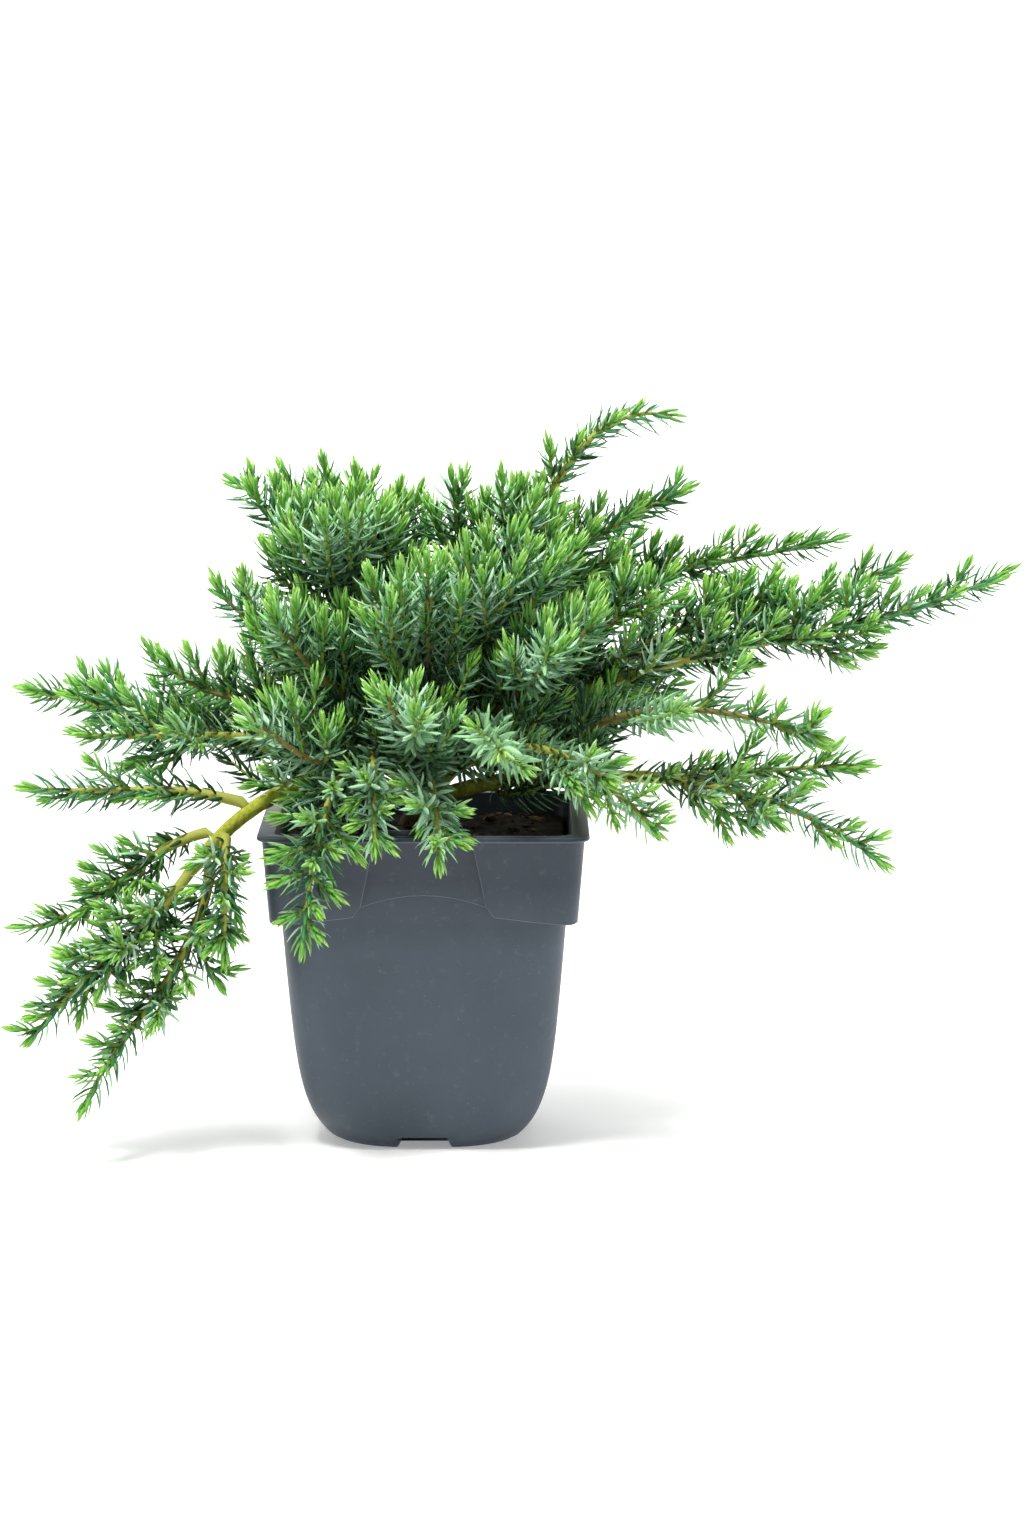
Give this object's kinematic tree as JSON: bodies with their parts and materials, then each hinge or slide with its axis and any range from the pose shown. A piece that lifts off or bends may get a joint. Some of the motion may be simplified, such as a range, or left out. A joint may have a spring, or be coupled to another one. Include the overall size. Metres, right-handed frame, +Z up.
{
  "type": "potted blue carpet flaky juniper",
  "caption": "Low spreading juniper shrub with a domed crown and long side shoots, growing in a square plastic nursery pot.",
  "frame": {"origin": "middle of the pot's flat underside, on the surface the pot stands on", "axes": "+Z up, +X to the side of the longest shoots, +Y to the back"},
  "size_m": [0.2931, 0.1987, 0.2094],
  "materials": {
    "pot": "satin dark slate grey, fine grain",
    "soil": "dark moist potting mix with bark chips",
    "trunk": "thin flaking bark",
    "bough": "smooth young bark, olive yellow to tan",
    "foliage": "waxy blue green needles with pale upper faces"
  },
  "bodies": {
    "root": {"bough_back": "bough", "bough_back_left": "bough", "bough_back_right": "bough", "bough_crest_back": "bough", "bough_crest_left": "bough", "bough_front": "bough", "bough_front_left": "bough", "bough_front_right": "bough", "bough_leader": "bough", "bough_left": "bough", "bough_left_low": "bough", "bough_right": "bough", "bough_right_low": "bough", "bough_right_upper": "bough", "foliage_back_drooping": "foliage", "foliage_back_high": "foliage", "foliage_back_left_long": "foliage", "foliage_back_long": "foliage", "foliage_back_right_high": "foliage", "foliage_back_right_long": "foliage", "foliage_back_right_low": "foliage", "foliage_corner_hanging": "foliage", "foliage_crest_back": "foliage", "foliage_crest_back_left": "foliage", "foliage_crest_front": "foliage", "foliage_crest_front_right": "foliage", "foliage_crest_left_low": "foliage", "foliage_crest_left_top": "foliage", "foliage_crest_top_left": "foliage", "foliage_crest_top_right": "foliage", "foliage_front_centre": "foliage", "foliage_front_hanging": "foliage", "foliage_front_left": "foliage", "foliage_front_left_high": "foliage", "foliage_front_low": "foliage", "foliage_front_mid": "foliage", "foliage_front_right_high": "foliage", "foliage_front_star": "foliage", "foliage_leader": "foliage", "foliage_left_hanging": "foliage", "foliage_left_hanging_inner": "foliage", "foliage_left_long": "foliage", "foliage_left_low": "foliage", "foliage_left_mid": "foliage", "foliage_left_second": "foliage", "foliage_left_shoulder": "foliage", "foliage_right_back": "foliage", "foliage_right_corner": "foliage", "foliage_right_drooping": "foliage", "foliage_right_fork": "foliage", "foliage_right_front": "foliage", "foliage_right_long": "foliage", "foliage_right_low": "foliage", "foliage_right_shoulder": "foliage", "foliage_right_top": "foliage", "foliage_right_upper": "foliage", "foliage_side_hanging": "foliage", "pot": "pot", "soil": "soil", "trunk": "trunk"}
  },
  "joints": []
}
